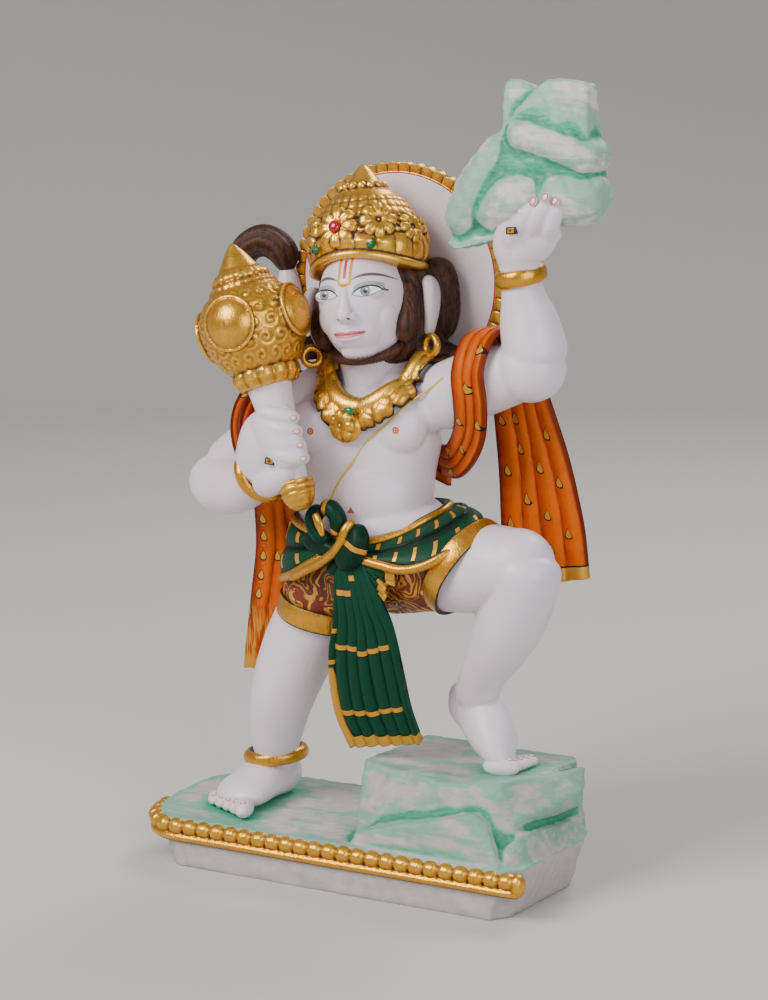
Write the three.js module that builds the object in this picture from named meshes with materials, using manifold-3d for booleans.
// A painted marble temple figure: a crowned monkey god lunges up onto a rock, a mace in one fist and a
// mountain held up on the other hand. Figure, halo, shawl, rock and plinth are carved in one block.
// Millimetres, +Z up. Seen from the front, +X is to the right, and the front faces -Y.
import * as THREE from "three";
import { ConvexGeometry } from "three/addons/geometries/ConvexGeometry.js";
import { mergeVertices } from "three/addons/utils/BufferGeometryUtils.js";
import Module from "manifold-3d";

// Driving sizes.
const FIGURE_HEIGHT = 487; // from the standing foot's sole to the crown's tip
const PLINTH_LENGTH = 332;
const PLINTH_DEPTH = 138;
const PLINTH_THICKNESS = 38;
const PLINTH_TAPER = 0.93; // the underside's length as a share of the top's
const MOULDING_LENGTH = 278; // the straight run of gilt beads and bar along the front edge
const BEADS = 28;
const BEAD_RADIUS = 6.5;
const BEAD_SINK = 1; // how far a bead's centre lies inside the front face
const BAR_HEIGHT = 7.6;
const BAR_PROUD = 4;
const SHORTEST_EDGE = 2.5; // of the facets where carved forms cross

// The pose, proportions and carving are shares of the figure's height. Their numbers are counted in
// units of height / 487, from the figure's own centre line and the top of the plinth.
const UNIT = FIGURE_HEIGHT / 487;
const FIGURE_AT = new THREE.Matrix4().compose(
  new THREE.Vector3(8 * UNIT, -5 * UNIT, PLINTH_THICKNESS),
  new THREE.Quaternion(),
  new THREE.Vector3(UNIT, UNIT, UNIT),
);
// The head is laid out about its own middle. It tips back and leans to the figure's right, and the hair
// hangs upright round it.
const HEAD_MIDDLE = new THREE.Vector3(-7, 4, 392);
const [HEAD_TIP, HEAD_LEAN, HEAD_TURN] = [-10, -8, 5].map(THREE.MathUtils.degToRad);
const HEAD_AT = new THREE.Matrix4()
  .makeRotationFromEuler(new THREE.Euler(HEAD_TIP, HEAD_LEAN, HEAD_TURN, "ZXY")).setPosition(HEAD_MIDDLE);
const HAIR_AT = new THREE.Matrix4().setPosition(HEAD_MIDDLE);

const PAINTS = {
  marble: { color: "#e6e0e4", roughness: 0.35, metalness: 0 },
  gold: { color: "#c0892c", roughness: 0.38, metalness: 0.8 },
  green: { color: "#0c5c38", roughness: 0.55, metalness: 0 },
  orange: { color: "#d2600f", roughness: 0.55, metalness: 0 },
  brocade: { color: "#9c3d1d", roughness: 0.6, metalness: 0.2 },
  hair: { color: "#2e1710", roughness: 0.6, metalness: 0 },
  rock: { color: "#9cd3bb", roughness: 0.5, metalness: 0 },
};
const PAINT_NAMES = Object.keys(PAINTS);

const vec = (p) => new THREE.Vector3(...p);

// A round form drawn out along a line: a sphere's rings are carried along a smooth curve, and each is
// stretched to [half width, half depth] with the width lying along `across`.
function drawOut(points, radii, { sides = 8, rings = 7, ends = 0.16, across = [1, 0, 0], flute } = {}) {
  const line = new THREE.CatmullRomCurve3(points.map(vec));
  const sizes = new THREE.CatmullRomCurve3(radii.map(([width, depth]) => new THREE.Vector3(width, depth,
    0)));
  const form = new THREE.SphereGeometry(1, sides, rings);
  const place = form.attributes.position;
  const p = new THREE.Vector3();
  for (let i = 0; i < place.count; i++) {
    p.fromBufferAttribute(place, i);
    const t = (1 - p.y) / 2;
    const fromEnd = Math.min(t, 1 - t) / ends;
    const closing = fromEnd < 1 ? Math.sqrt(Math.max(0, 1 - (1 - fromEnd) ** 2)) : 1;
    const along = line.getTangent(t);
    const depth = new THREE.Vector3().crossVectors(along, vec(across)).normalize();
    const width = new THREE.Vector3().crossVectors(depth, along);
    const size = sizes.getPoint(t);
    const angle = Math.atan2(p.z, p.x);
    const swell = closing * (flute ? flute(angle, t) : 1);
    p.copy(line.getPoint(t));
    p.addScaledVector(width, Math.cos(angle) * size.x * swell);
    p.addScaledVector(depth, Math.sin(angle) * size.y * swell);
    place.setXYZ(i, p.x, p.y, p.z);
  }
  return form;
}

// A length of carved cloth: a slab of nu by nv panels laid on the surface at(u, v).
function drape(at, thickness, nu, nv) {
  const slab = new THREE.BoxGeometry(1, 1, 1, nu, 1, nv);
  const place = slab.attributes.position;
  const step = 1e-3;
  for (let i = 0; i < place.count; i++) {
    const u = place.getX(i) + 0.5;
    const v = place.getZ(i) + 0.5;
    const along = vec(at(u + step, v)).sub(vec(at(u - step, v)));
    const down = vec(at(u, v + step)).sub(vec(at(u, v - step)));
    const normal = new THREE.Vector3().crossVectors(down, along).normalize();
    const p = vec(at(u, v)).addScaledVector(normal, place.getY(i) * thickness);
    place.setXYZ(i, p.x, p.y, p.z);
  }
  return slab;
}

// A strip of cloth along a line. At each of its points it lies along `over` and is `widths` wide, and it
// has `pleats` folds, `depth` deep, with two panels to a fold.
function strip(points, over, widths, { pleats = 2, depth = 2, thickness = 6, panels = 8 } = {}) {
  const line = new THREE.CatmullRomCurve3(points.map(vec));
  const side = new THREE.CatmullRomCurve3(over.map(vec));
  const wide = new THREE.CatmullRomCurve3(widths.map((w, i) => new THREE.Vector3(w, i, 0)));
  return drape((u, v) => {
    const t = THREE.MathUtils.clamp(v, 0, 1);
    const across = side.getPoint(t).normalize();
    const along = line.getTangent(t);
    const out = new THREE.Vector3().crossVectors(across, along).normalize();
    const p = line.getPoint(t).addScaledVector(along, (v - t) * line.getLength());
    p.addScaledVector(across, (u - 0.5) * wide.getPoint(t).x);
    return p.addScaledVector(out, depth * Math.cos(2 * Math.PI * pleats * u)).toArray();
  }, thickness, 2 * pleats, panels);
}

// An egg or ball, [rx, ry, rz] in size, turned about Z in degrees.
function ball(at, size, turn = 0, sides = 8, rings = 5) {
  const turned = new THREE.Quaternion().setFromAxisAngle(vec([0, 0, 1]), THREE.MathUtils.degToRad(turn));
  return new THREE.SphereGeometry(1, sides, rings).applyMatrix4(
    new THREE.Matrix4().compose(vec(at), turned, vec(size)),
  );
}

// A bangle round an axis: `thick` is half its thickness and `high` half its height.
function bangle(at, axis, radius, thick, high, sides = 14) {
  const turn = new THREE.Quaternion().setFromUnitVectors(vec([0, 0, 1]), vec(axis).normalize());
  return new THREE.TorusGeometry(radius, thick, 5, sides).applyMatrix4(
    new THREE.Matrix4().compose(vec(at), turn, vec([1, 1, high / thick])),
  );
}

// A form turned on a lathe about Z, its outline given as [radius, height] from foot to top.
function turned(outline, sides, lobes) {
  const form = new THREE.LatheGeometry(outline.map(([r, z]) => new THREE.Vector2(r, z)), sides);
  form.rotateX(Math.PI / 2);
  const place = form.attributes.position;
  for (let i = 0; lobes && i < place.count; i++) {
    const [x, y] = [place.getX(i), place.getY(i)];
    const swell = lobes(Math.atan2(y, x));
    place.setXYZ(i, x * swell, y * swell, place.getZ(i));
  }
  return form;
}

// A facet-sided lump of rock around its corners.
const lump = (corners) => new ConvexGeometry(corners.map(vec));

// All that is carved, each form with the paint on it.
const work = [];
function carve(paint, ...forms) {
  for (const form of forms) work.push({ paint, form: form.applyMatrix4(FIGURE_AT) });
}
const onHead = (...forms) => forms.map((form) => form.applyMatrix4(HEAD_AT));
const roundHead = (...forms) => forms.map((form) => form.applyMatrix4(HAIR_AT));

// The trunk: hips, waist and a broad bare chest, with the neck and shoulders.
carve(
  "marble",
  drawOut(
    [[-4, 6, 166], [-6, 4, 190], [-10, 2, 232], [-10, 3, 262], [-10, 4, 292], [-8, 6, 316], [-8, 8, 336]],
    [[40, 28], [56, 37], [54, 35], [55, 35], [59, 37], [52, 32], [26, 22]],
    { sides: 12, rings: 9 },
  ),
  drawOut([[-8, 9, 318], [-8, 6, 338], [-7, 4, 366]], [[28, 26], [23, 22], [25, 24]], { rings: 4 }),
  drawOut([[-76, 10, 302], [-44, 10, 320], [-8, 10, 328], [30, 10, 326], [62, 8, 324]],
    [[22, 20], [25, 20], [26, 20], [26, 20], [25, 22]], { rings: 5, across: [0, 0, 1] }),
  ball([18, -18, 303], [28, 16, 21], -8, 8, 5),
  ball([-37, -18, 298], [28, 17, 20], 8, 8, 5),
);

// The raised left arm: the upper arm runs out and up to the elbow, and the forearm stands on it.
carve(
  "marble",
  drawOut([[36, 9, 318], [66, 6, 331], [92, 3, 341], [114, 1, 349], [136, 0, 357]],
    [[26, 25], [25, 26], [24, 25], [22, 23], [19, 20]], { across: [0, 0, 1] }),
  drawOut([[132, 0, 344], [129, -1, 364], [123, -2, 386], [119, -4, 402], [118, -5, 416], [117, -7, 438]],
    [[18, 18], [24, 23], [21, 20], [16, 16], [14, 14], [14, 13]]),
  ball([124, -1, 352], [26, 24, 24], 0, 9, 6),
);

// The left hand, bent back under the mountain with its fingers up on the rock.
function leftHand() {
  const roots = [[110, -12, 434], [119, -15, 440], [129, -15, 444], [138, -12, 442]];
  const knuckles = [[118, -26, 449], [128, -28, 455], [138, -28, 457], [147, -24, 455]];
  const tips = [[130, -29, 462.5], [140.5, -31, 470], [149, -30, 473], [155, -27, 470.5]];
  return [
    drawOut([[117, -7, 414], [118, -10, 426], [120, -14, 438], [128, -17, 450], [135, -17, 460]],
      [[13, 13], [16, 12], [21, 13], [24, 13], [18, 10]], { rings: 6 }),
    ...knuckles.map((knuckle, i) => drawOut([roots[i], knuckle, tips[i]], [[9, 9], [7.6, 7.6], [5.8, 5.8]],
      { sides: 6, rings: 5 })),
    drawOut([[128, -10, 436], [142, -14, 444], [151, -16, 452]], [[7, 7], [6, 6], [5, 5]], { sides: 5,
      rings: 4 }),
  ];
}
carve("marble", ...leftHand());

// The right arm: down to the elbow, then forward to a fist in front of the chest.
carve(
  "marble",
  drawOut([[-56, 10, 308], [-82, 8, 294], [-110, 4, 272], [-140, 0, 252]], [[24, 26], [26, 25], [24, 23],
    [20, 19]],
    { across: [0, 1, 0] }),
  drawOut([[-148, 6, 257], [-130, -8, 248], [-106, -24, 250], [-84, -38, 258], [-64, -52, 274]],
    [[20, 19], [22, 21], [20, 19], [17, 16], [15, 14]], { across: [0, 0, 1] }),
);

// The mace: a turned white handle, a gilt pot with round bosses and petals, and a pommel.
const MACE_FOOT = vec([-27, -62, 246]);
const MACE_TIP = vec([-96, -44, 434]);
const MACE_HEAD_FOOT = 98; // how far up the handle the head begins
const MACE_LENGTH = MACE_TIP.distanceTo(MACE_FOOT);
const MACE_AT = new THREE.Matrix4().compose(
  MACE_FOOT,
  new THREE.Quaternion().setFromUnitVectors(vec([0, 0, 1]), MACE_TIP.clone().sub(MACE_FOOT).normalize()),
  vec([1, 1, 1]),
);
const onMace = (form) => form.applyMatrix4(MACE_AT);

function maceHead() {
  const top = MACE_LENGTH - MACE_HEAD_FOOT;
  const up = (outline) => outline.map(([r, z]) => [r, MACE_HEAD_FOOT + z]);
  const petals = turned(up([[0, -2], [17, -5], [23, 3], [20, 10], [0, 12]]), 12,
    (a) => 1 + 0.08 * Math.cos(6 * a));
  const pot = turned(up([[0, 2], [20, 5], [33, 20], [39, 37], [37.5, 52], [25, 68], [0, 70]]), 14);
  const steps = turned(up([[0, 65], [25, 66], [24, 71], [20, 72], [19, 79], [14, 82], [5, top - 4], [0,
    top]]), 10);
  const bosses = [];
  for (let i = 0; i < 4; i++) {
    const turn = 4 + 90 * i;
    const a = THREE.MathUtils.degToRad(turn);
    bosses.push(ball([32 * Math.cos(a), 32 * Math.sin(a), MACE_HEAD_FOOT + 42], [13, 20, 20], turn, 8, 5));
  }
  return [petals, pot, steps, ...bosses];
}
carve("gold", ...maceHead().map(onMace));
carve("marble", onMace(turned([[0, 10], [9, 11], [11, 50], [17, MACE_HEAD_FOOT], [0, MACE_HEAD_FOOT + 4]],
  10)));
carve("gold", onMace(turned([[0, 0], [7, 2], [11.5, 9], [13.5, 17], [13, 23], [0, 24]], 10)));

// The right fist, its four fingers wrapped round the mace's handle.
function rightFist() {
  const forms = [
    drawOut([[-72, -45, 262], [-62, -56, 278], [-56, -61, 298], [-48, -60, 316]], [[18, 15], [23, 17], [21,
      16], [13, 11]],
      { rings: 5 }),
    drawOut([[-64, -58, 262], [-48, -66, 268], [-33, -66, 282]], [[11.5, 11.5], [11.5, 11.5], [9, 9]],
      { sides: 6, rings: 4 }),
    drawOut([[-52, -66, 322], [-46, -69, 306], [-38, -68, 288], [-34, -66, 276]], [[13, 8], [17, 10], [17,
      10], [12, 8]],
      { sides: 6, rings: 5 }),
  ];
  for (let i = 0; i < 4; i++) {
    const [x, z] = [-45 + 2.6 * i, 316 - 9.6 * i];
    forms.push(drawOut([[x - 16, -62, z], [x - 5, -74, z + 1], [x + 9, -73, z - 1], [x + 17, -64, z - 2]],
      [[5.6, 5.6], [5.8, 5.8], [5.6, 5.6], [4.8, 4.8]], { sides: 5, rings: 5, across: [0, 0, 1] }));
  }
  return forms;
}
carve("marble", ...rightFist());

// The legs: the right one stands, and the left one is bent, its heel up, on the rock.
carve(
  "marble",
  drawOut([[-24, 6, 190], [-45, 4, 160], [-66, 2, 127], [-82, 4, 90], [-94, 13, 54], [-100, 22, 30], [-102,
    26, 8]],
    [[34, 33], [33, 33], [29, 29], [25, 26], [20, 21], [17, 18], [17, 18]], { sides: 10, rings: 9 }),
  drawOut([[2, 4, 190], [42, -2, 197], [84, -8, 204], [112, -13, 209], [134, -16, 206]],
    [[26, 26], [29, 29], [32, 32], [28, 28], [21, 22]], { sides: 10, across: [0, 0, 1] }),
  ball([121, -14, 212], [27, 26, 26], 0, 9, 6),
  drawOut([[129, -17, 224], [129, -18, 208], [118, -12, 178], [102, -4, 148], [86, 6, 124], [75, 15, 106],
    [67, 20, 94]],
    [[17, 18], [26, 25], [26, 25], [22, 22], [17, 18], [16, 17], [13, 14]], { sides: 10, rings: 8 }),
);

// A bare foot: a form from heel to ball, and five toes set along a line.
function foot(heelToBall, sizes, across, bigToe, littleToe, toeSize, turn) {
  const toes = [];
  for (let i = 0; i < 5; i++) {
    const t = i / 4;
    const at = [0, 1, 2].map((k) => bigToe[k] + t * (littleToe[k] - bigToe[k]));
    const share = i === 0 ? 1 : 0.86 - 0.05 * i;
    at[2] -= toeSize[2] * (1 - share) * 0.5;
    toes.push(ball(at, [toeSize[0] * share, toeSize[1] * (0.55 + 0.45 * share), toeSize[2] * share], turn,
      6, 4));
  }
  return [drawOut(heelToBall, sizes, { sides: 8, rings: 6, across, ends: 0.2 }), ...toes];
}
carve(
  "marble",
  ...foot([[-104, 50, 9], [-103, 34, 15], [-104, 8, 16], [-107, -12, 12], [-112, -36, 7]],
    [[13, 12], [17, 18], [20, 16], [23, 13], [21, 10]], [0.9, -0.44, 0], [-93, -39, 7], [-130, -21, 6], [8,
      14, 7], 24),
  ...foot([[50, 28, 104], [63, 23, 97], [83, 12, 87], [95, 6, 74], [104, 5, 64], [109, 7, 60]],
    [[10, 10], [14, 18], [16, 20], [18, 17], [20, 11], [18, 8]], [0, 1, 0], [107, -9, 59], [113, 21, 58],
      [14, 7, 7], 12),
);

// Bangles on both wrists and the standing ankle.
carve(
  "gold",
  bangle([117, -5, 417], [-0.2, -0.12, 1], 15.6, 3.6, 6.4),
  bangle([-67, -47, 268], [0.72, -0.5, 0.42], 19.6, 4.5, 5),
  bangle([-100, 22, 33], [-0.13, 0, 1], 21, 5, 6),
);

// The head: face, muzzle, chin and nose, then the long ears.
carve(
  "marble",
  ...onHead(
    ball([0, -9, -2], [33, 40, 45], 0, 12, 9),
    ball([0, -28, -25], [21, 20, 16], 0, 8, 6),
    ball([0, -26, -37], [14, 13, 9], 0, 7, 4),
    drawOut([[0, -45, 12], [0, -49, -2], [0, -52, -13], [0, -46, -19]], [[3, 3], [4, 4], [7, 6], [6, 3]],
      { sides: 6, rings: 5 }),
    ...[-1, 1].map((s) => drawOut([[45 * s, 4, 9], [47 * s, 4, -2], [43 * s, 3, -27]], [[6, 7], [7, 7], [6,
      5]],
      { sides: 6, rings: 4 })),
  ),
);

// A beard round the jaw and whiskers on the cheeks, and brown hair to the shoulders: it spreads back to
// the halo, and its ends flick out in locks.
function beard() {
  const jaw = drawOut([[-32, -10, -22], [-27, -20, -36], [-12, -30, -46], [12, -30, -46], [27, -20, -36],
    [32, -10, -22]],
    [[6, 8], [6, 6], [4, 6], [4, 6], [6, 6], [6, 8]], { sides: 5, rings: 8, across: [0, 0, 1] });
  return [jaw, ...[-1, 1].map((s) => ball([32 * s, -14, -24], [9, 10, 13], 0, 6, 4))];
}
function hair() {
  const mass = drawOut([[0, 12, 36], [0, 12, 12], [0, 12, -10], [0, 10, -32], [0, 10, -50]],
    [[36, 30], [45, 31], [48, 33], [46, 31], [30, 24]],
    { sides: 18, rings: 5, flute: (a) => 1 + 0.035 * Math.cos(9 * a) });
  const forms = [mass];
  for (const s of [-1, 1]) {
    forms.push(drawOut([[37 * s, 26, 30], [41 * s, 28, 12], [42 * s, 28, -8], [38 * s, 26, -30]],
      [[11, 12], [15, 13], [15, 13], [12, 12]], { sides: 7, rings: 5 }));
    for (let i = 0; i < 3; i++) {
      const a = THREE.MathUtils.degToRad(-14 + 32 * i);
      const [x, y] = [s * Math.cos(a), Math.sin(a)];
      forms.push(drawOut([[42 * x, 12 + 25 * y, -20], [46 * x, 12 + 25 * y, -34], [62 * x, 12 + 24 * y,
        -40],
        [79 * x, 12 + 22 * y, -33]], [[10, 8], [12, 9], [10, 8], [3, 3]], { sides: 5, rings: 5, across: [0,
          1, 0] }));
    }
  }
  return forms;
}
carve("hair", ...onHead(...beard()), ...roundHead(...hair()));

// The crown: a domed cap with a rolled rim that rises over the brow, a flower with a gem in front,
// smaller flowers at the sides, a plain ring near the top and a cone on it.
function crown() {
  const outline = [[0, 24], [43, 24], [46, 27], [44, 31], [44, 40], [42.4, 48], [39, 56], [33, 66], [22,
    77], [18.5, 79],
    [18.5, 84], [12, 87], [6, 95], [0, 99]];
  const cap = turned(outline, 20);
  const place = cap.attributes.position;
  for (let i = 0; i < place.count; i++) {
    const [x, y, z] = [place.getX(i), place.getY(i), place.getZ(i)];
    const front = Math.max(0, -Math.sin(Math.atan2(y, x))) ** 2;
    place.setXYZ(i, x, y - 1, z + (z < 35 ? 8 * front - 5 : 0));
  }
  const flowers = [[-8, 13, 50], [-50, 12, 49], [34, 12, 52], [-92, 11, 48], [72, 11, 48]].map(([turn,
    size, z]) => {
    const flower = turned([[0, -4], [size, -3], [0.9 * size, 1.5], [0, 4]], 10,
      (b) => 1 + 0.12 * Math.cos(5 * b));
    return flower.rotateX(Math.PI / 2 - 0.25).translate(0, -41, z).rotateZ(THREE.MathUtils.degToRad(turn));
  });
  return [cap, ...flowers];
}
carve("gold", ...onHead(...crown()));
carve("gold", ...onHead(...[-1, 1].map((s) => bangle([47 * s, 2, -35], [0.2, 1, 0], 7, 2.6, 2.6, 8))));

// The halo: a marble disc behind the head with a gilt scalloped rim.
const HALO_RADIUS = 84;
const HALO_THICKNESS = 9;
function halo() {
  const steps = 48;
  const edge = Array.from({ length: steps }, (_, i) => {
    const a = (i / steps) * 2 * Math.PI;
    const r = HALO_RADIUS + (i % 2 ? 2.8 : 0);
    return new THREE.Vector2(r * Math.cos(a), r * Math.sin(a));
  });
  const rim = new THREE.ExtrudeGeometry(new THREE.Shape(edge), { depth: HALO_THICKNESS,
    bevelEnabled: false });
  const face = new THREE.CylinderGeometry(HALO_RADIUS - 8, HALO_RADIUS - 9, 3, 20).rotateX(Math.PI / 2);
  return [rim, face.translate(0, 0, HALO_THICKNESS)];
}
const [haloRim, haloFace] = halo();
const HALO_AT = new THREE.Matrix4().makeRotationX(Math.PI / 2).setPosition(-6, 54, 403);
carve("gold", haloRim.applyMatrix4(HALO_AT));
carve("marble", haloFace.applyMatrix4(HALO_AT));

// The tail: it rises behind the right arm and curls over beside the mace in a dark tuft.
carve(
  "marble",
  drawOut([[-2, 20, 196], [-40, 42, 176], [-84, 46, 184], [-108, 45, 214], [-117, 44, 256], [-108, 43, 304],
    [-98, 42, 350], [-96, 41, 388], [-99, 41, 412]],
    [[15, 14], [13, 13], [12, 12], [12, 12], [11, 11], [11, 11], [10, 10], [10, 10], [10, 10]],
    { sides: 7, rings: 13, across: [0, 1, 0] }),
  drawOut([[-66, 50, 352], [-82, 46, 362], [-98, 42, 372]], [[9, 7], [8, 7], [7, 7]],
    { sides: 5, rings: 4, across: [0, 1, 0] }),
);
carve("hair", drawOut([[-97, 41, 404], [-102, 40, 421], [-116, 39, 428], [-131, 37, 421], [-137, 34, 405],
  [-133, 31, 391]],
  [[9, 9], [11, 11], [12, 11], [12, 11], [10, 9], [3, 3]], { sides: 7, rings: 8, across: [0, 1, 0] }));

// The necklace: a broad gilt collar with a lobed edge and a pendant flower.
carve(
  "gold",
  drawOut([[-8, 34, 355], [36, 28, 356], [42, 6, 350], [38, -8, 341], [30, -22, 327], [20, -30, 319], [7,
    -34, 313],
    [-6, -34, 313], [-18, -29, 320], [-28, -21, 329], [-35, -9, 341], [-38, 8, 350], [-28, 28, 353], [-6,
      34, 354]],
    Array.from({ length: 14 }, () => [10.5, 5]), { sides: 5, rings: 18, ends: 0.02, across: [0, -0.4, 1] }),
  ball([-14, -38, 302], [14, 6, 13], 0, 7, 4),
);

// Short drawers of brocade, their gilt hems round both thighs.
carve(
  "brocade",
  drawOut([[-4, 5, 166], [-6, 4, 190], [-8, 3, 220]], [[48, 34], [58, 40], [58, 40]], { sides: 12,
    rings: 4, ends: 0.2 }),
  drawOut([[-22, 6, 198], [-39, 5, 174], [-45, 4, 152]], [[38, 37], [36, 37], [34, 35]], { sides: 12,
    rings: 4 }),
  drawOut([[4, 4, 190], [34, 0, 196], [54, -4, 201], [69, -6, 206]], [[32, 33], [33, 34], [34.5, 34.5],
    [34, 34.5]],
    { sides: 10, rings: 5, ends: 0.1, across: [0, 0, 1] }),
);
const HEM = { sides: 16, rings: 3, ends: 0.02 };
carve(
  "gold",
  drawOut([[-42, 4, 166], [-45.5, 4, 150]], [[38, 39.5], [38, 39.5]], HEM),
  drawOut([[69.5, -6, 208.5], [83, -8, 200.5]], [[39.5, 39], [39.5, 39]], { ...HEM, across: [0.52, 0,
    0.85] }),
);

// The sash: a green wrap with rolled edges. Its upper edge keeps to the waist. Its lower edge rises from
// the right hip to the knot, and goes on over the root of the raised thigh to the left hip.
const SASH_UPPER = [[-6, -38, 222], [14, -34, 223], [31, -23, 229], [43, -12, 237], [49, 6, 242], [45, 22,
  243],
  [20, 38, 240], [-14, 41, 237], [-46, 32, 234], [-60, 8, 231], [-56, -18, 231], [-34, -34, 226]];
const SASH_LOWER = [[-6, -46, 213], [12, -47, 211], [28, -47, 208], [44, -46, 207], [60, -44, 212], [75,
  -34, 221],
  [84, -14, 230], [76, 16, 232], [44, 42, 222], [-8, 50, 212], [-54, 42, 202], [-72, 14, 190], [-66, -20,
    183],
  [-42, -42, 194], [-22, -46, 207]];
const HIPS = vec([-6, 2, 0]);
function sash() {
  const [upper, lower] = [SASH_UPPER, SASH_LOWER].map((line) => new THREE.CatmullRomCurve3(line.map(vec),
    true));
  const form = turned([[0, -0.8], [0.96, -1], [1.05, -1], [1.08, -0.6], [1.06, -0.5], [1.12, 0], [1.06,
    0.5], [1.08, 0.6],
    [1.05, 1], [0.94, 1], [0, 0.8]], 18);
  const place = form.attributes.position;
  for (let i = 0; i < place.count; i++) {
    const [x, y, z] = [place.getX(i), place.getY(i), place.getZ(i)];
    const around = (Math.atan2(x, -y) / (2 * Math.PI) + 1) % 1;
    const p = lower.getPoint(around).lerp(upper.getPoint(around), (z + 1) / 2).sub(HIPS);
    const share = Math.hypot(x, y);
    place.setXYZ(i, p.x * share + HIPS.x, p.y * share + HIPS.y, p.z);
  }
  return form;
}
carve("green", sash());

// The knot in front and the sash's two ends: a pleated fall down onto the rock, and a short tuft.
carve(
  "green",
  ball([-16, -46, 235], [14, 9, 13], 0, 8, 5),
  drawOut([[6, -46, 236], [11, -50, 226], [6, -52, 214], [-4, -50, 205]], [[6, 5], [9, 8], [10, 8], [6, 6]],
    { sides: 6, rings: 5 }),
  drawOut([[-36, -42, 224], [-24, -46, 219], [-8, -48, 216], [8, -48, 212]], [[6, 5], [7, 6], [7, 6], [6,
    6]],
    { sides: 5, rings: 4 }),
  strip([[4, -47, 208], [8, -46, 186], [10, -40, 164], [9, -35, 142], [8, -28, 118], [9, -20, 92], [14,
    -10, 66]],
    [[1, 0, 0], [1, 0.02, 0], [1, 0.03, 0], [1, 0.05, 0], [1, 0.08, 0], [1, 0.1, 0.06], [1, 0.1, 0.16]],
    [24, 33, 44, 54, 59, 60, 57], { pleats: 5, depth: 3, thickness: 8, panels: 6 }),
  drawOut([[10, -44, 206], [22, -46, 200], [34, -42, 193]], [[6, 4], [9, 5], [9, 5]], { sides: 5,
    rings: 4 }),
);
carve(
  "gold",
  drawOut([[8, -50, 240], [1, -56, 226], [-12, -55.5, 211], [-34, -50, 198], [-50, -42, 189]],
    [[3, 3], [4, 3.6], [4, 3.6], [4, 3.6], [3, 3]], { sides: 5, rings: 7, across: [1, 0, 0.6] }),
);

// The shawl: behind the back, over both arms and down in two pleated ends.
carve(
  "orange",
  strip([[38, 32, 274], [52, 20, 276], [67, 6, 288], [80, -10, 306], [86, -23, 328], [86, -26, 350], [88,
    -14, 370],
    [91, 8, 374], [93, 28, 362], [96, 38, 338]],
    [[0, 0.3, -1], [0.3, 0.2, -1], [0.7, 0, -0.8], [1, 0, -0.4], [1, 0, 0], [1, 0, 0.1], [1, 0, 0.1], [1,
      0, 0.1],
      [1, 0, 0], [1, 0, 0]], [24, 24, 24, 23, 23, 22, 23, 25, 28, 34], { pleats: 2, depth: 1.6,
        thickness: 5, panels: 11 }),
  strip([[96, 37, 338], [100, 38, 314], [106, 38, 290], [111, 39, 262], [115, 40, 229], [119, 41, 188]],
    [[1, 0, 0.1], [1, 0, 0], [1, 0, -0.1], [1, 0, -0.1], [1, 0, 0], [1, 0, 0.2]], [34, 42, 50, 56, 61, 62],
    { pleats: 4, depth: 3.2, thickness: 9, panels: 6 }),
  strip([[40, 40, 266], [6, 46, 276], [-34, 46, 292], [-74, 38, 312], [-94, 18, 322], [-100, -8, 312],
    [-98, -22, 294],
    [-90, -22, 272], [-84, -8, 250]],
    [[0, 0, 1], [0, 0.1, 1], [0.2, 0.1, 1], [0.3, 0.1, 1], [-0.6, 0.1, 0.6], [-1, 0, 0.2], [-1, 0, -0.2],
      [-1, 0, -0.3],
      [-1, 0, -0.1]], [26, 26, 26, 26, 24, 22, 22, 26, 28], { pleats: 1, depth: 1.6, thickness: 6,
        panels: 11 }),
  strip([[-84, -8, 254], [-84, 0, 232], [-85, 5, 205], [-92, 8, 163], [-99, 10, 126], [-104, 11, 106]],
    [[1, 0.1, -0.1], [1, 0.1, 0], [1, 0.1, 0], [1, 0.1, -0.1], [1, 0.1, -0.1], [1, 0.1, 0.3]], [28, 31, 33,
      31, 28, 26],
    { pleats: 3, depth: 2.6, thickness: 10, panels: 5 }),
);

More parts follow.
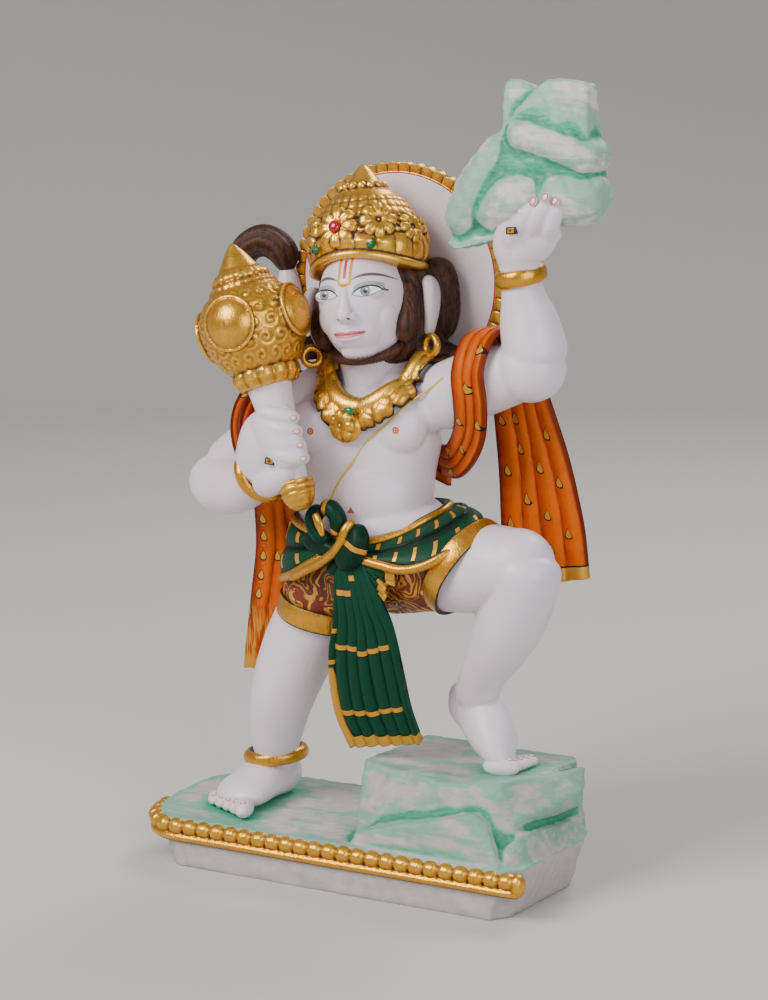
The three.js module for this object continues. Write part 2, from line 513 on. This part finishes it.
// The mountain on the left hand: two blocks on a rounded tier, a long flank at the left, and a base whose
// two swellings lie behind the fingers.
carve(
  "rock",
  drawOut([[108, 0, 517], [126, -2, 514], [148, -2, 508], [166, -1, 500], [176, 0, 491]],
    [[12, 18], [15, 24], [16, 26], [15, 24], [11, 17]], { sides: 10, rings: 6, across: [0, 0, 1] }),
  drawOut([[105, 0, 516], [98, -2, 498], [87, -2, 477], [74, -1, 456], [66, 0, 443]],
    [[9, 14], [15, 20], [19, 24], [16, 21], [9, 14]], { sides: 10, rings: 6, across: [1, 0, -0.6] }),
  drawOut([[92, 0, 450], [104, -3, 464], [121, -5, 471], [140, -4, 470]], [[16, 19], [21, 25], [24, 28],
    [20, 26]],
    { sides: 10, rings: 5, across: [0, 0, 1] }),
  drawOut([[138, 0, 470], [152, -3, 474], [166, -3, 473], [178, 0, 471]], [[19, 24], [22, 27], [19, 25],
    [14, 18]],
    { sides: 10, rings: 5, across: [0, 0, 1] }),
  lump([[103, -5, 551], [105, 6, 552], [112, -5, 553], [121, -5, 550], [122, 6, 550], [130, 0, 546], [104,
    -12, 520],
    [105, 12, 520], [134, -14, 520], [132, 14, 520]]),
  lump([[124, -6, 545], [127, 7, 546], [135, -11, 552], [137, 9, 553], [146, -12, 554], [156, -10, 554],
    [165, -7, 551],
    [169, 0, 545], [166, 9, 550], [170, -12, 522], [171, 10, 516], [110, -14, 524], [150, -22, 516], [170,
      -15, 508],
    [112, 14, 522], [168, 14, 510]]),
  lump([[104, -12, 518], [104, 12, 518], [170, -14, 500], [170, 14, 500], [76, -12, 452], [76, 12, 452],
    [182, -13, 478],
    [182, 13, 478], [96, -19, 490], [96, 19, 490], [140, -23, 500], [140, 23, 500], [110, -22, 460], [160,
      -21, 466],
    [110, 22, 460], [160, 21, 466]]),
  lump([[62, -11, 437], [64, 11, 438], [72, -17, 434], [74, 17, 434], [100, -22, 441], [100, 22, 441],
    [150, -18, 457],
    [150, 18, 457], [172, 0, 460], [80, 0, 470], [150, 0, 482]]),
);

// The rock under the left foot, built up of slanting blocks.
carve(
  "rock",
  lump([[-2, -17, 52], [36, -32, 53], [74, -43, 52], [116, -30, 54], [130, -4, 54], [140, 52, 53], [132,
    66, 51],
    [8, 66, 52], [6, -48, -4], [60, -56, -4], [120, -50, 10], [134, -36, 14], [146, 60, -4], [2, 66, -4]]),
  lump([[4, -60, -4], [12, -58, 8], [34, -58, 16], [82, -58, 28], [104, -54, 34], [118, -54, 24], [134,
    -62, -4],
    [60, -20, -4], [60, -24, 32], [110, -30, 34]]),
  lump([[130, -40, 18], [128, -8, 54], [146, 20, 52], [148, 50, 50], [158, 22, 38], [158, 26, 26], [152,
    44, 14],
    [148, 10, 8], [110, 0, 30], [120, 60, 20], [144, 60, 30]]),
  lump([[114, -62, -4], [134, -62, -4], [145, -44, -2], [153, 20, -2], [152, 50, -4], [136, -40, 16], [147,
    20, 9],
    [144, 50, 6], [100, 0, -4], [110, 0, 14]]),
);

// The plinth: a slab with a rounded left end and a roughly broken right end, drawn in below.
function plinth() {
  const [l, d] = [PLINTH_LENGTH / 2, PLINTH_DEPTH / 2];
  const plan = new THREE.Shape();
  plan.moveTo(-l + 30, -d);
  plan.lineTo(l - 24, -d);
  plan.lineTo(l - 12, -d + 14);
  plan.lineTo(l - 7, -0.2 * d);
  plan.lineTo(l - 2, 0.4 * d);
  plan.lineTo(l - 22, 0.88 * d);
  plan.lineTo(l - 34, d);
  plan.lineTo(-l + 60, d);
  plan.quadraticCurveTo(-l + 6, d, -l + 2, 0.3 * d);
  plan.quadraticCurveTo(-l - 3, -0.8 * d, -l + 30, -d);
  const slab = new THREE.ExtrudeGeometry(plan, { depth: PLINTH_THICKNESS, bevelEnabled: false,
    curveSegments: 5 });
  const place = slab.attributes.position;
  for (let i = 0; i < place.count; i++) {
    if (place.getZ(i) === 0) place.setX(i, place.getX(i) * PLINTH_TAPER);
  }
  return slab;
}

// The gilt moulding along the front edge and round its left corner: a row of half beads over a bar.
function moulding() {
  const [l, d] = [PLINTH_LENGTH / 2, PLINTH_DEPTH / 2];
  const path = new THREE.Path();
  path.moveTo(-l + 2, -0.42 * d);
  path.quadraticCurveTo(-l + 5, -d + 3, -l + 34, -d);
  path.lineTo(-l + 34 + MOULDING_LENGTH, -d);
  const beads = path.getSpacedPoints(BEADS).map(({ x, y }) => new THREE.SphereGeometry(BEAD_RADIUS, 8, 4)
    .rotateX(Math.PI / 2).translate(x, y + BEAD_SINK, PLINTH_THICKNESS - BEAD_RADIUS - 0.4));
  const line = path.getPoints(5);
  const inner = line.map(({ x, y }) => new THREE.Vector2(x + 6, y + 6)).reverse();
  const outer = line.map(({ x, y }) => new THREE.Vector2(x - (y > -d + 0.1 ? BAR_PROUD : 0),
    y - BAR_PROUD));
  const bar = new THREE.ExtrudeGeometry(new THREE.Shape([...outer, ...inner]), { depth: BAR_HEIGHT,
    bevelEnabled: false });
  return [...beads, bar.translate(0, 0, PLINTH_THICKNESS - 2 * BEAD_RADIUS - BAR_HEIGHT + 2)];
}
work.push({ paint: "marble", form: plinth() });
for (const form of moulding()) work.push({ paint: "gold", form });

// All forms become one solid, and each face keeps the paint of the form that it came from.
const wasm = await Module();
wasm.setup();

function solid(form) {
  const bare = new THREE.BufferGeometry().setAttribute("position", form.attributes.position);
  if (form.index) bare.setIndex(form.index);
  const merged = mergeVertices(bare, 1e-3);
  return new wasm.Manifold(new wasm.Mesh({
    numProp: 3,
    vertProperties: merged.attributes.position.array,
    triVerts: new Uint32Array(merged.index.array),
  })).asOriginal();
}

const paintOf = new Map();
const solids = work.map(({ paint, form }) => {
  const made = solid(form);
  paintOf.set(made.originalID(), PAINT_NAMES.indexOf(paint));
  return made;
});
const carved = wasm.Manifold.union(solids).getMesh();

// The short edges where forms cross are closed up, each onto one of its ends, wherever the surface
// stays closed and no face beside it folds over.
function closeShortEdges(points, faces, shortest) {
  const around = points.map(() => new Set());
  faces.forEach(({ corners }, i) => corners.forEach((v) => around[v].add(i)));
  const beside = (v) => new Set([...around[v]].flatMap((i) => faces[i].corners));
  const normal = (corners) => {
    const [a, b, c] = corners.map((v) => points[v]);
    return b.clone().sub(a).cross(c.clone().sub(a));
  };
  const stays = (i, from, to) => {
    const { corners } = faces[i];
    if (corners.includes(to)) return true;
    const before = normal(corners);
    const after = normal(corners.map((v) => (v === from ? to : v)));
    return before.dot(after) > 0.5 * before.length() * after.length() && after.length() > 0.05;
  };
  const tryMove = (from, to) => {
    const near = beside(to);
    if ([...beside(from)].filter((v) => near.has(v)).length !== 4) return false;
    if (![...around[from]].every((i) => stays(i, from, to))) return false;
    for (const i of around[from]) {
      const { corners } = faces[i];
      if (corners.includes(to)) {
        corners.forEach((v) => v !== from && around[v].delete(i));
        faces[i] = null;
      } else {
        corners[corners.indexOf(from)] = to;
        around[to].add(i);
      }
    }
    around[from].clear();
    return true;
  };
  for (let limit = shortest / 8; limit <= shortest; limit *= 2) {
    for (let i = 0; i < faces.length; i++) {
      for (let k = 0; faces[i] && k < 3; k++) {
        const [a, b] = [faces[i].corners[k], faces[i].corners[(k + 1) % 3]];
        if (points[a].distanceTo(points[b]) < limit && (tryMove(a, b) || tryMove(b, a))) break;
      }
    }
  }
  return faces.filter(Boolean);
}

const points = [];
for (let i = 0; i < carved.vertProperties.length; i += 3) points.push(vec(carved.vertProperties.slice(i,
  i + 3)));
const faces = [];
for (let run = 0; run < carved.runOriginalID.length; run++) {
  const paint = paintOf.get(carved.runOriginalID[run]);
  for (let i = carved.runIndex[run]; i < carved.runIndex[run + 1]; i += 3) {
    faces.push({ corners: [...carved.triVerts.slice(i, i + 3)], paint });
  }
}
const tidy = closeShortEdges(points, faces, SHORTEST_EDGE).sort((a, b) => a.paint - b.paint);

const geometry = new THREE.BufferGeometry().setFromPoints(points);
geometry.setIndex(tidy.flatMap(({ corners }) => corners));
PAINT_NAMES.forEach((_, paint) => {
  const first = tidy.findIndex((face) => face.paint === paint);
  geometry.addGroup(3 * first, 3 * tidy.filter((face) => face.paint === paint).length, paint);
});
geometry.computeVertexNormals();

const paints = PAINT_NAMES.map((name) => new THREE.MeshStandardMaterial({ name, flatShading: true,
  ...PAINTS[name] }));
const statue = new THREE.Mesh(geometry, paints);
statue.name = "hanuman_statue";
const part = new THREE.Group();
part.add(statue);

export default part;
